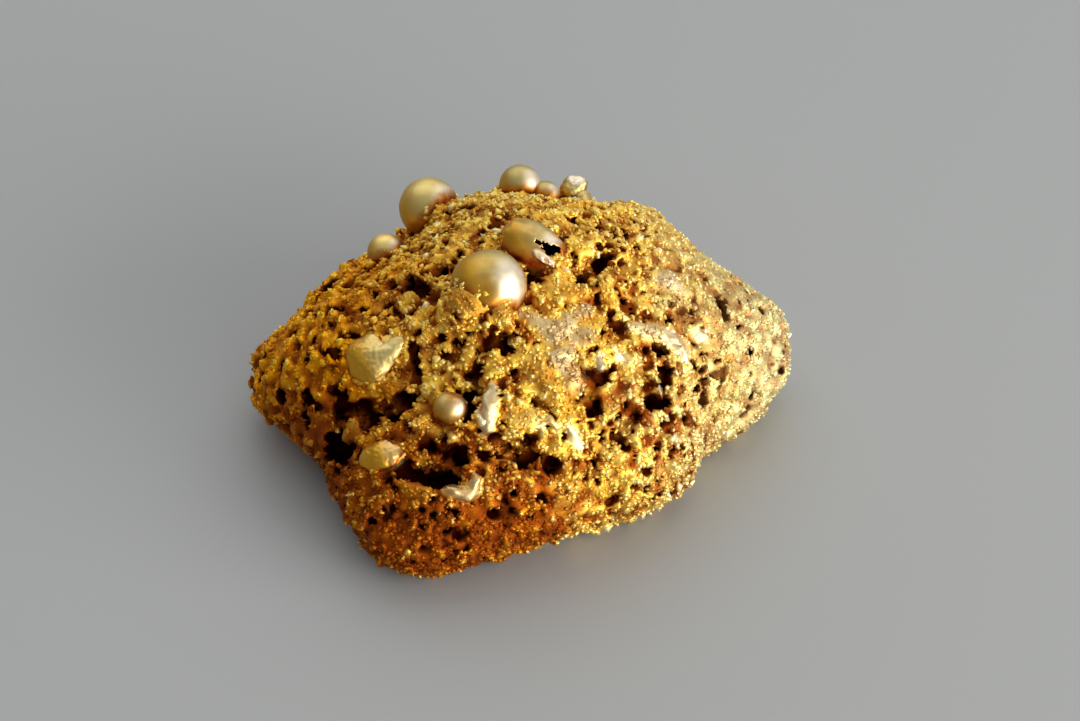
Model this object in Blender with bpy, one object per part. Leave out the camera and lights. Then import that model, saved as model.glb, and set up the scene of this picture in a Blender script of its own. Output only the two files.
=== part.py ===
# Gold nugget: one lump of sponge gold, domed on top and flat underneath, with round blisters that gas
# blew in its skin and open pits between them. Metres, +Z up, +X along its length, +Y towards its back.
# The origin is under the middle of its bounding box, on the surface that it rests on.

import math

import bmesh
import bpy
from mathutils import Matrix, Vector, noise
from mathutils.bvhtree import BVHTree

MM = 0.001

# Driving dimensions of the lump, in millimetres. The lump's own middle is under its crown.
HALF_LENGTH = 12.2
HALF_DEPTH = 10.4
BELLY_HEIGHT = 2.4  # the level of its widest outline
CROWN_RISE = 8.2  # from the belly up to the crown
KEEL_DROP = 5.0  # how deep its round underside would go, were it not flat
SQUARENESS = 1.85  # 2 is an ellipsoid, and less draws its outline towards a diamond
ROUGH_HEIGHT = 0.22  # the unevenness of the crust
ROUGH_LENGTH = 1.7  # from one unevenness to the next
ROUGH_FADE = 0.8  # how fast the finer unevenness dies away
ROUGH_OCTAVES = 3
ROUGH_STEP = 2.0  # each finer unevenness is this many times shorter
FOOTPRINT_MIDDLE = (0.0, -0.5)  # middle of the bounding box, from the lump's own middle

# Broad swells and hollows of the lump: degrees round from +X, degrees up from level, height in
# millimetres, and spread in degrees.
SWELLS = (
    (178, -2, 0.6, 12),
    (167, 12, -0.5, 9),
    (152, 17, 0.3, 10),
    (148, 32, -1.8, 32),
    (118, 48, 0.4, 18),
    (205, -6, -1.0, 15),
    (222, 28, -0.9, 24),
    (242, 0, 1.9, 18),
    (243, -14, 0.8, 12),
    (262, -4, 0.3, 12),
    (292, 0, -1.0, 24),
    (338, 0, -2.0, 20),
    (352, -12, 0.5, 9),
    (330, 35, -0.9, 25),
    (10, 4, 0.8, 15),
    (28, 24, -0.7, 16),
    (45, 27, 0.4, 11),
    (68, 36, -0.5, 10),
    (85, 48, -0.3, 26),
)

# Blisters: place from above (x, y), radius, and how far each stands proud of the crust, in millimetres.
BLISTERS = {
    "crown": (-1.3, -2.5, 1.74, 2.1),
    "back_left": (-3.8, 6.3, 1.42, 1.9),
    "back_crown": (0.0, 6.9, 1.0, 1.3),
    "back_lens": (1.3, 6.7, 0.75, 0.8),
    "back_knob": (2.25, 7.2, 0.62, 1.15),
    "left_bead": (-6.0, 4.5, 0.83, 1.0),
    "broken": (0.5, 0.1, 1.4, 1.1),
    "shell": (-6.5, -4.0, 1.1, 0.6),
    "front_bead": (-3.1, -7.2, 0.75, 1.0),
    "low_left": (-6.1, -8.1, 0.95, 0.6),
    "right_worm": (6.6, -3.2, 0.9, 0.5),
}

# Pits: place from above (x, y), length, width, depth, in millimetres, and turn about the crust's
# own normal in degrees, from level.
PITS = {
    "long_front": (-3.7, -9.4, 2.8, 1.4, 1.3, 0),
    "front_slit": (-0.3, -8.8, 2.0, 0.8, 1.0, 0),
    "left_wall": (-8.0, -5.9, 2.4, 1.2, 1.2, 80),
    "left_gap": (-5.9, -6.2, 2.0, 1.1, 1.0, 20),
    "bead_gap": (-2.1, -6.8, 1.6, 0.8, 1.0, 65),
    "under_bead": (-3.6, -7.9, 1.1, 0.9, 0.9, 0),
    "middle": (-0.5, -5.0, 1.2, 0.9, 0.8, 0),
    "front_middle": (0.9, -7.4, 1.2, 0.9, 0.8, -20),
    "front_right": (2.9, -6.7, 1.4, 0.8, 0.9, 10),
    "right_hole": (5.9, -5.2, 1.7, 1.3, 1.2, 0),
    "right_low": (4.7, -7.0, 1.1, 0.9, 0.8, 40),
    "crown_hollow": (3.0, -1.0, 2.4, 1.6, 0.6, -30),
}

LUMP_SUBDIVISIONS = 5
SPHERE_SEGMENTS = 16
SPHERE_RINGS = 10
CUT_TOLERANCE = 1e-6  # metres, about the plane of the flat underside
HIGH_ABOVE = 1.0  # metres; where a line down to the crust starts


def direction(around, up):
    """The unit vector that far round from +X and up from level, in degrees."""
    a, e = math.radians(around), math.radians(up)
    return Vector((math.cos(a) * math.cos(e), math.sin(a) * math.cos(e), math.sin(e)))


def lump_radius(way):
    """How far the crust is from the middle of the belly in this direction, in millimetres."""
    rise = CROWN_RISE if way.z > 0 else KEEL_DROP
    shares = (abs(way.x) / HALF_LENGTH, abs(way.y) / HALF_DEPTH, abs(way.z) / rise)
    radius = sum(share**SQUARENESS for share in shares) ** (-1 / SQUARENESS)
    for around, up, height, spread in SWELLS:
        angle = math.degrees(way.angle(direction(around, up)))
        radius += height * math.exp(-((angle / spread) ** 2))
    return radius + ROUGH_HEIGHT * noise.fractal(
        way * radius / ROUGH_LENGTH, ROUGH_FADE, ROUGH_STEP, ROUGH_OCTAVES
    )


def new_object(name, mesh, collection, colour):
    data = bpy.data.meshes.new(name)
    mesh.to_mesh(data)
    mesh.free()
    data.shade_smooth()
    data.materials.append(colour)
    obj = bpy.data.objects.new(name, data)
    collection.objects.link(obj)
    return obj


def make_lump(collection, gold):
    mesh = bmesh.new()
    bmesh.ops.create_icosphere(mesh, subdivisions=LUMP_SUBDIVISIONS, radius=1)
    for vert in mesh.verts:
        way = vert.co.normalized()
        vert.co = way * lump_radius(way) * MM
        vert.co.z += BELLY_HEIGHT * MM
    everything = mesh.verts[:] + mesh.edges[:] + mesh.faces[:]
    cut = bmesh.ops.bisect_plane(
        mesh,
        geom=everything,
        dist=CUT_TOLERANCE,
        plane_co=(0, 0, 0),
        plane_no=(0, 0, -1),
        clear_outer=True,
    )
    rim = [part for part in cut["geom_cut"] if isinstance(part, bmesh.types.BMEdge)]
    bmesh.ops.holes_fill(mesh, edges=rim)
    return new_object("nugget", mesh, collection, gold)


def crust_at(tree, x, y):
    """The crust's point, in metres, and its normal under (x, y), which is in millimetres."""
    point, normal, _, _ = tree.ray_cast(Vector((x * MM, y * MM, HIGH_ABOVE)), Vector((0, 0, -1)))
    return point, normal


def make_ball(name, place, size, collection, gold):
    """A sphere stretched to size along its own axes, turned and moved by place."""
    mesh = bmesh.new()
    bmesh.ops.create_uvsphere(mesh, u_segments=SPHERE_SEGMENTS, v_segments=SPHERE_RINGS, radius=0.5)
    bmesh.ops.transform(mesh, matrix=place @ Matrix.Diagonal((*size, 1)), verts=mesh.verts)
    ball = new_object(name, mesh, collection, gold)
    ball.hide_render = True
    ball.display_type = "WIRE"
    return ball


def make_blisters(tree, collection, gold):
    for name, (x, y, radius, proud) in BLISTERS.items():
        point, normal = crust_at(tree, x, y)
        centre = point + normal * (proud - radius) * MM
        size = Vector((1, 1, 1)) * 2 * radius * MM
        make_ball("blister_" + name, Matrix.Translation(centre), size, collection, gold)


def make_pit_cutters(tree, collection, gold):
    for name, (x, y, length, width, depth, turn) in PITS.items():
        point, normal = crust_at(tree, x, y)
        level = Vector((0, 0, 1)).cross(normal)
        level = level.normalized() if level.length > 0 else Vector((1, 0, 0))
        axes = Matrix((level, normal.cross(level), normal)).transposed().to_4x4()
        place = Matrix.Translation(point) @ axes @ Matrix.Rotation(math.radians(turn), 4, "Z")
        size = Vector((length, width, 2 * depth)) * MM
        make_ball("pit_" + name, place, size, collection, gold)


def make_material():
    gold = bpy.data.materials.new("sponge_gold")
    gold.use_nodes = True
    shader = gold.node_tree.nodes["Principled BSDF"]
    shader.inputs["Base Color"].default_value = (0.72, 0.45, 0.13, 1)
    shader.inputs["Metallic"].default_value = 1.0
    shader.inputs["Roughness"].default_value = 0.42
    return gold


def new_collection(name):
    collection = bpy.data.collections.new(name)
    bpy.context.scene.collection.children.link(collection)
    return collection


def add_boolean(obj, name, operation, tools):
    modifier = obj.modifiers.new(name, "BOOLEAN")
    modifier.operation = operation
    modifier.operand_type = "COLLECTION"
    modifier.collection = tools
    modifier.solver = "EXACT"


def main():
    for old in list(bpy.data.objects):
        bpy.data.objects.remove(old)
    gold = make_material()
    nugget = make_lump(new_collection("gold_nugget"), gold)
    tree = BVHTree.FromPolygons(
        [vert.co for vert in nugget.data.vertices],
        [face.vertices for face in nugget.data.polygons],
    )
    blisters, pits = new_collection("blister_balls"), new_collection("pit_cutters")
    make_blisters(tree, blisters, gold)
    make_pit_cutters(tree, pits, gold)
    add_boolean(nugget, "join blisters", "UNION", blisters)
    add_boolean(nugget, "cut pits", "DIFFERENCE", pits)
    middle = Matrix.Translation(Vector((-FOOTPRINT_MIDDLE[0], -FOOTPRINT_MIDDLE[1], 0)) * MM)
    for obj in bpy.data.objects:
        obj.matrix_world = middle @ obj.matrix_world


main()
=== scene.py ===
import math

import bmesh
import bpy
from mathutils import Matrix, Vector, noise
from mathutils.bvhtree import BVHTree


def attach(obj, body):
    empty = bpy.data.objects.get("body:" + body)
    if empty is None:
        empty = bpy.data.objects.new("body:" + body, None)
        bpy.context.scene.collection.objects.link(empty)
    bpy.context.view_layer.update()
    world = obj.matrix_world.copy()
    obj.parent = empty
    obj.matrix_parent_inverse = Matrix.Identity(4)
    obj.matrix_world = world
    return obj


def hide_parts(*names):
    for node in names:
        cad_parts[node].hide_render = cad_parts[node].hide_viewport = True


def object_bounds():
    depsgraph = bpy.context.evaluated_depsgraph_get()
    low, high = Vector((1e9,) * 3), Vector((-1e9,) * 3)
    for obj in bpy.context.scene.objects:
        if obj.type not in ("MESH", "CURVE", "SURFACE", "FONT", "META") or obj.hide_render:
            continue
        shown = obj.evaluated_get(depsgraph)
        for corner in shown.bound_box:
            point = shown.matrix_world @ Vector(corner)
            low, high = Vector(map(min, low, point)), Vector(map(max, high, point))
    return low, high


# A lump of sponge gold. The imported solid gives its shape, and everything here is grown on it: a
# porous crust, crumbs stuck all over it, smooth blown blisters and pale melted skins.
# Places and sizes are millimetres in the solid's own frame, and become metres in the meshes.

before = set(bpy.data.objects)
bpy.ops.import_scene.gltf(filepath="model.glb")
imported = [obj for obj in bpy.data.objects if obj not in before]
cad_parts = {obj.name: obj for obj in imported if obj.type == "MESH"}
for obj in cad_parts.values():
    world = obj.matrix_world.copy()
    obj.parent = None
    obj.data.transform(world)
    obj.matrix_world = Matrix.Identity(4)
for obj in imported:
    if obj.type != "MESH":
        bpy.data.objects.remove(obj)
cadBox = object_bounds()
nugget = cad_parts["nugget"]
mm = 0.001


def plug(socket, value):
    if isinstance(value, bpy.types.NodeSocket):
        socket.id_data.links.new(value, socket)
    elif value is not None:
        socket.default_value = value


def addNode(tree, kind, inputs=None, **settings):
    node = tree.nodes.new(kind)
    for name, value in settings.items():
        setattr(node, name, value)
    for socket, value in (inputs or {}).items():
        plug(node.inputs[socket], value)
    return node


def made(tree, kind, inputs=None, **settings):
    return addNode(tree, kind, inputs, **settings).outputs[0]


def treeOf(*values):
    # the tree that the first socket among the values belongs to
    return next(value.id_data for value in values if isinstance(value, bpy.types.NodeSocket))


def calc(operation, *values):
    return made(treeOf(*values), "ShaderNodeMath", dict(enumerate(values)), operation=operation)


def times(a, b):
    return calc("MULTIPLY", a, b)


def plus(a, b):
    return calc("ADD", a, b)


def minus(a, b):
    return calc("SUBTRACT", a, b)


def larger(a, b):
    return calc("MAXIMUM", a, b)


def calcVector(operation, *values):
    inputs = dict(enumerate(values))
    node = addNode(treeOf(*values), "ShaderNodeVectorMath", inputs, operation=operation)
    single = operation in ("DOT_PRODUCT", "LENGTH", "DISTANCE")
    return node.outputs["Value" if single else "Vector"]


def split(vector):
    # its three numbers
    return addNode(treeOf(vector), "ShaderNodeSeparateXYZ", {0: vector}).outputs


def scaled(vector, factor):
    return made(treeOf(vector), "ShaderNodeVectorMath", {0: vector, "Scale": factor}, operation="SCALE")


def fade(value, low, high, start=0.0, end=1.0):
    # from start to end as the value goes from low to high
    inputs = {0: value, 1: low, 2: high, 3: start, 4: end}
    return made(treeOf(value), "ShaderNodeMapRange", inputs, interpolation_type="SMOOTHSTEP")


def position(tree):
    return made(tree, "GeometryNodeInputPosition")


def field(tree, name, kind="FLOAT"):
    return made(tree, "GeometryNodeInputNamedAttribute", {"Name": name}, data_type=kind)


def store(tree, geometry, name, value, kind="FLOAT", domain="POINT"):
    inputs = {"Geometry": geometry, "Name": name, "Value": value}
    return made(tree, "GeometryNodeStoreNamedAttribute", inputs, data_type=kind, domain=domain)


def coat(tree, geometry, done, gold):
    # the last nodes of a tree: smooth shading and the material
    smooth = made(tree, "GeometryNodeSetShadeSmooth", {"Geometry": geometry})
    plug(done, made(tree, "GeometryNodeSetMaterial", {"Geometry": smooth, "Material": gold}))


def newTree(name, sizes, others):
    # sizes: numbers by title; others: the other inputs' kinds by title
    tree = bpy.data.node_groups.new(name, "GeometryNodeTree")
    tree.interface.new_socket("Geometry", in_out="INPUT", socket_type="NodeSocketGeometry")
    for title, value in sizes.items():
        kind = "NodeSocketInt" if isinstance(value, int) else "NodeSocketFloat"
        tree.interface.new_socket(title, in_out="INPUT", socket_type=kind).default_value = value
    for title, kind in others.items():
        tree.interface.new_socket(title, in_out="INPUT", socket_type="NodeSocket" + kind)
    tree.interface.new_socket("Geometry", in_out="OUTPUT", socket_type="NodeSocketGeometry")
    return tree, tree.nodes.new("NodeGroupInput").outputs, tree.nodes.new("NodeGroupOutput").inputs[0]


def addObject(name, data):
    piece = bpy.data.objects.new(name, data)
    bpy.context.scene.collection.objects.link(piece)
    return piece


def plainMesh(piece):
    # its mesh, with the modifiers applied
    return bpy.data.meshes.new_from_object(piece.evaluated_get(bpy.context.evaluated_depsgraph_get()))


def storeOn(mesh, numbers):
    # one number for each point, under each title
    for title, values in numbers.items():
        mesh.attributes.new(title, "FLOAT", "POINT").data.foreach_set("value", values)


def triangleCount(mesh):
    return sum(len(face.vertices) - 2 for face in mesh.polygons)


def grow(name, base, tree, values):
    # runs the tree on a copy of the base object, and gives its plain mesh back as a new object
    worker = addObject(name + "Worker", base.data)
    modifier = worker.modifiers.new("grow", "NODES")
    modifier.node_group = tree
    for socket in tree.interface.items_tree:
        if socket.in_out == "INPUT" and socket.name in values:
            modifier[socket.identifier] = values[socket.name]
    mesh = plainMesh(worker)
    bpy.data.objects.remove(worker)
    mesh.name = name
    return addObject(name, mesh)


def editable(mesh):
    work = bmesh.new()
    work.from_mesh(mesh)
    return work


def biggestIsland(mesh):
    # closed bubbles inside the sponge are dropped, so that one skin is left
    count = len(mesh.vertices)
    parent = list(range(count))

    def root(i):
        while parent[i] != i:
            parent[i] = parent[parent[i]]
            i = parent[i]
        return i

    for edge in mesh.edges:
        a, b = root(edge.vertices[0]), root(edge.vertices[1])
        if a != b:
            parent[a] = b
    roots = [root(i) for i in range(count)]
    sizes = {}
    for one in roots:
        sizes[one] = sizes.get(one, 0) + 1
    best = max(sizes, key=sizes.get)
    work = editable(mesh)
    work.verts.ensure_lookup_table()
    bmesh.ops.delete(work, geom=[work.verts[i] for i in range(count) if roots[i] != best], context="VERTS")
    work.to_mesh(mesh)
    work.free()


def thinTo(piece, most):
    # collapses edges until the piece is light enough to keep
    count = triangleCount(piece.data)
    if count > most:
        piece.modifiers.new("thin", "DECIMATE").ratio = most / count
        piece.data = plainMesh(piece)
        piece.modifiers.clear()
    return piece


# Blown blisters: where each stands seen from above, and its radius. Its height is read off the solid.
blisters = {
    # Some blisters are painted darker mustard over more of their surface, as shade and tarnish.
    "crown": {"at": (-1.34, -2.08), "radius": 1.74, "shift": (0.0, -0.1, -0.18), "shadeAndTarnish": 0.55},
    "backLeft": {"at": (-4.02, 7.04), "radius": 1.42, "shift": (-0.17, 0.0, -0.06)},
    "backCrown": {"at": (0.01, 7.58), "radius": 1.0},
    "backLens": {"at": (1.32, 7.22), "radius": 0.75, "shift": (-0.18, -0.05, -0.04)},
    "backKnob": {"at": (2.37, 7.92), "radius": 0.62},
    "leftBead": {"at": (-6.08, 5.03), "radius": 0.83, "swell": 0.1, "shift": (0.0, -0.15, 0.04)},
    "broken": {"at": (0.47, 0.54), "radius": 1.4, "shift": (0.30, -0.19, -0.21), "shadeAndTarnish": 0.35},
    "frontBead": {"at": (-3.17, -6.81), "radius": 0.75, "swell": 0.04, "shift": (0.18, 0.0, 0.0)},
    "shell": {"at": (-6.30, -3.25), "radius": 1.1},
    "lowLeft": {"at": (-5.93, -7.47), "radius": 0.95},
    "rightWorm": {"at": (6.31, -2.53), "radius": 0.9},
}

# The other blisters are crusted, swollen or broken.
roundBlisters = ("crown", "backLeft", "backCrown", "backLens", "leftBead", "frontBead")


# Swellings: smooth melted domes, lower and less round than the blisters. Each has its middle, the way
# it stands up, its half widths with the last one along that way, how much wider it is at its far end,
# its horn's direction and length, how lumpy it is, and its colouring: how much of it is painted darker
# mustard, as shade and tarnish, and the way its painted highlight faces.
swellings = {
    "shellSwelling": {
        "middle": (-6.42, -3.34, 6.82), "up": (-0.4, -0.46, 0.79), "half": (1.22, 1.4, 0.82), "taper": 0.42,
        "horn": ((0.88, 0.20, 0.42), 0.40), "lumpy": 0.2, "shadeAndTarnish": 0.35, "highlightWay": (0.3, -0.06, 0.66),
    },
    "lowSwelling": {
        "middle": (-5.98, -7.4, 4.9), "up": (-0.45, -0.45, 0.77), "half": (1.08, 0.76, 0.62), "taper": -0.1,
        "horn": ((1.0, 0.2, 0.0), 0.25), "lumpy": 0.16, "shadeAndTarnish": 0.75, "highlightWay": (0.3, 0.3, 0.4),
    },
    "knobSwelling": {
        "middle": (2.42, 7.9, 7.45), "up": (0.1, -0.2, 0.97), "half": (0.66, 0.62, 0.62), "taper": 0.0,
        "horn": ((0.8, 0.3, 0.5), 0.12), "lumpy": 0.2, "shadeAndTarnish": 0.1, "highlightWay": (0.3, 0.1, 0.95),
    },
}
swellingRules = {"lumpSize": 0.8, "hornWide": 0.7, "grainHeight": 0.03, "grainSize": 0.16, "stainAndShadeReach": 0.16}


def swellingFrame(swelling):
    # the turn from its own frame, and how a unit ball is stretched into it
    up = Vector(swelling["up"]).normalized()
    side = (Vector((1, 0, 0)) - up * up.x).normalized()
    turn = Matrix((side, up.cross(side), up)).transposed()
    return turn, Matrix.Diagonal(swelling["half"])


def solidTree(mesh):
    # for finding the nearest point of its surface, and what a ray meets
    work = editable(mesh)
    tree = BVHTree.FromBMesh(work)
    work.free()
    return tree


def fromAbove(tree, x, y):
    # the point of the surface over that spot, and the way it faces
    return tree.ray_cast(Vector((x * mm, y * mm, 1)), Vector((0, 0, -1)))[:2]


def findBlisters():
    tree = solidTree(nugget.data)
    for ball in blisters.values():
        x, y = ball["at"]
        top, _ = fromAbove(tree, x, y)
        ball["centre"] = Vector((x, y, top.z / mm - ball["radius"]))
        ball["middle"] = ball["centre"] + Vector(ball.get("shift", (0, 0, 0)))


# The lump without its blisters, on which the crust grows.
bare = {
    "weld": 0.001,
    "ballDepth": 0.09,  # how far a blister's flat facets may lie inside its sphere
    "ballRise": 0.02,
    "voxel": 0.16,
    "smoothSteps": 6,
}
# Mounds of crust that climb the blisters: their middles and radii.
mounds = {
    "rampLeft": ((-2.34, -3.23, 9.83), 1.15),
    "rampMiddle": ((-1.54, -3.68, 9.78), 0.8),
    "rampRight": ((-0.88, -3.75, 9.82), 0.72),
    "backLeftFoot": ((-5.1, 6.6, 5.3), 0.7),
    "backLeftRamp": ((-3.12, 5.84, 7.0), 1.2),
    "backLeftSide": ((-2.52, 6.44, 7.4), 0.75),
    "knob": ((2.42, 7.9, 7.1), 0.5),
    "knobTail": ((2.85, 7.35, 7.15), 0.5),
}


def makeBareLump():
    work = editable(nugget.data)
    bmesh.ops.remove_doubles(work, verts=work.verts, dist=bare["weld"] * mm)

    def onBall(vert):
        reaches = ((vert.co / mm - ball["centre"]).length - ball["radius"] for ball in blisters.values())
        return any(-bare["ballDepth"] < reach < bare["ballRise"] for reach in reaches)

    held = {vert for vert in work.verts if onBall(vert)}
    faces = [face for face in work.faces if all(vert in held for vert in face.verts)]
    bmesh.ops.delete(work, geom=faces, context="FACES")
    rim = [edge for edge in work.edges if edge.is_boundary]
    bmesh.ops.holes_fill(work, edges=rim)
    bmesh.ops.triangulate(work, faces=work.faces)
    bmesh.ops.recalc_face_normals(work, faces=work.faces)
    for middle, radius in mounds.values():
        place = Matrix.Translation(Vector(middle) * mm)
        bmesh.ops.create_icosphere(work, subdivisions=3, radius=radius * mm, matrix=place)
    mesh = bpy.data.meshes.new("bareLump")
    work.to_mesh(mesh)
    work.free()
    lump = addObject("bareLump", mesh)
    remesh = lump.modifiers.new("even", "REMESH")
    remesh.mode = "VOXEL"
    remesh.voxel_size = bare["voxel"] * mm
    smooth = lump.modifiers.new("smooth", "SMOOTH")
    smooth.iterations = bare["smoothSteps"]
    lump.data = plainMesh(lump)
    lump.modifiers.clear()
    lump.hide_render = True
    return lump


# Melted skins and open chambers run along strokes drawn on the crust, seen from above. Each stroke is
# how far its middle line stands above the crust, its finish, and its points with the radius at each.
finishes = {  # how pale each is, where -1 is rust, and how crumbed
    "rustGrain": (-1.0, 1.0),
    "mustard": (0.0, 0.0),
    "straw": (0.45, 0.0),
    "pale": (1.0, 0.0),
    "paleGrain": (1.0, 1.0),
    "crusted": (0.0, 1.0),
    "open": (0.0, 0.0),
}
skins = {
    "shell": (-0.75, "mustard", [(-6.5, -3.1, 0.9), (-6.6, -3.8, 0.9)]),
    "shellHorn": (-0.4, "mustard", [(-5.9, -3.2, 0.5), (-5.6, -3.3, 0.42)]),
    "tallBlob": (0.04, "pale", [
        (-1.15, -6.3, 0.16), (-1.3, -6.8, 0.28), (-1.4, -7.2, 0.34), (-1.35, -7.7, 0.3)]),
    "dome": (-0.3, "crusted", [(-0.1, -7.45, 0.35), (0.5, -7.3, 0.55), (1.1, -7.3, 0.4)]),
    "domeEdge": (-0.04, "straw", [(0.9, -7.55, 0.12), (1.35, -7.35, 0.16), (1.7, -7.5, 0.14)]),
    "lowPatch": (-0.1, "pale", [(2.2, -7.4, 0.12), (2.5, -7.55, 0.18), (2.7, -7.7, 0.12)]),
    "field": (-0.62, "paleGrain", [
        (2.2, -4.4, 0.85), (1.8, -4.95, 0.9), (2.1, -5.4, 0.7), (2.35, -5.75, 0.65)]),
    "fieldEdge": (-0.52, "paleGrain", [(2.7, -4.2, 0.65), (2.95, -3.95, 0.55)]),
    "ridge": (-0.3, "paleGrain", [(3.0, -2.6, 0.3), (2.6, -3.1, 0.38), (2.0, -3.6, 0.5), (1.6, -4.2, 0.55)]),
    "arm": (-0.32, "paleGrain", [(0.0, -3.3, 0.3), (0.55, -3.6, 0.42), (1.15, -3.85, 0.5)]),
    "drop": (0.0, "pale", [(3.5, -4.7, 0.12), (3.52, -4.95, 0.2)]),
    "dropRidge": (-0.12, "pale", [(4.45, -4.1, 0.14), (4.8, -4.25, 0.16), (5.05, -4.2, 0.1)]),
    "worm": (-0.12, "paleGrain", [
        (5.0, -2.7, 0.2), (5.4, -2.62, 0.3), (6.0, -2.5, 0.34), (6.4, -2.45, 0.34)]),
    "wormEnd": (-0.08, "pale", [(6.5, -2.45, 0.32), (7.1, -2.4, 0.4), (7.35, -2.65, 0.26)]),
    "rightField": (-0.6, "paleGrain", [(6.2, 0.2, 0.6), (6.7, 0.3, 0.75), (7.3, 0.1, 0.6)]),
    "rightFlake": (-0.06, "pale", [(7.9, -1.75, 0.16), (8.2, -1.62, 0.2)]),
    "tooth": (0.1, "pale", [
        (-3.1, -9.3, 0.2), (-2.8, -9.48, 0.26), (-2.35, -9.52, 0.25), (-1.95, -9.35, 0.22),
        (-1.8, -9.05, 0.14)]),
    "lowSwelling": (-0.4, "mustard", [(-6.15, -7.35, 0.5), (-5.8, -7.5, 0.45)]),
    "knobNeck": (-0.06, "straw", [(2.85, 7.4, 0.26), (3.05, 7.0, 0.32), (3.2, 6.6, 0.24)]),
    "nodule": (0.0, "crusted", [(-7.3, -5.6, 0.36), (-7.4, -5.65, 0.36)]),
    "rampLeft": (-0.42, "rustGrain", [(-2.8, -3.2, 0.4), (-2.4, -3.6, 0.5), (-1.9, -3.9, 0.5)]),
    "rampRight": (-0.36, "rustGrain", [(-0.95, -3.4, 0.36), (-0.6, -3.6, 0.42), (-0.3, -3.9, 0.36)]),
    "rustPatch": (-0.42, "rustGrain", [
        (0.3, -5.0, 0.4), (0.6, -5.4, 0.55), (1.0, -5.8, 0.6), (1.3, -6.2, 0.5)]),
    "rustBehind": (-0.34, "rustGrain", [(1.6, -1.8, 0.36), (2.2, -2.1, 0.44), (2.6, -2.3, 0.36)]),
    "rustLow": (-0.3, "rustGrain", [(-4.9, -9.3, 0.4), (-4.6, -9.5, 0.45)]),
    "rustFront": (-0.3, "rustGrain", [(1.7, -8.6, 0.3), (1.95, -8.8, 0.36)]),
}

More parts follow.
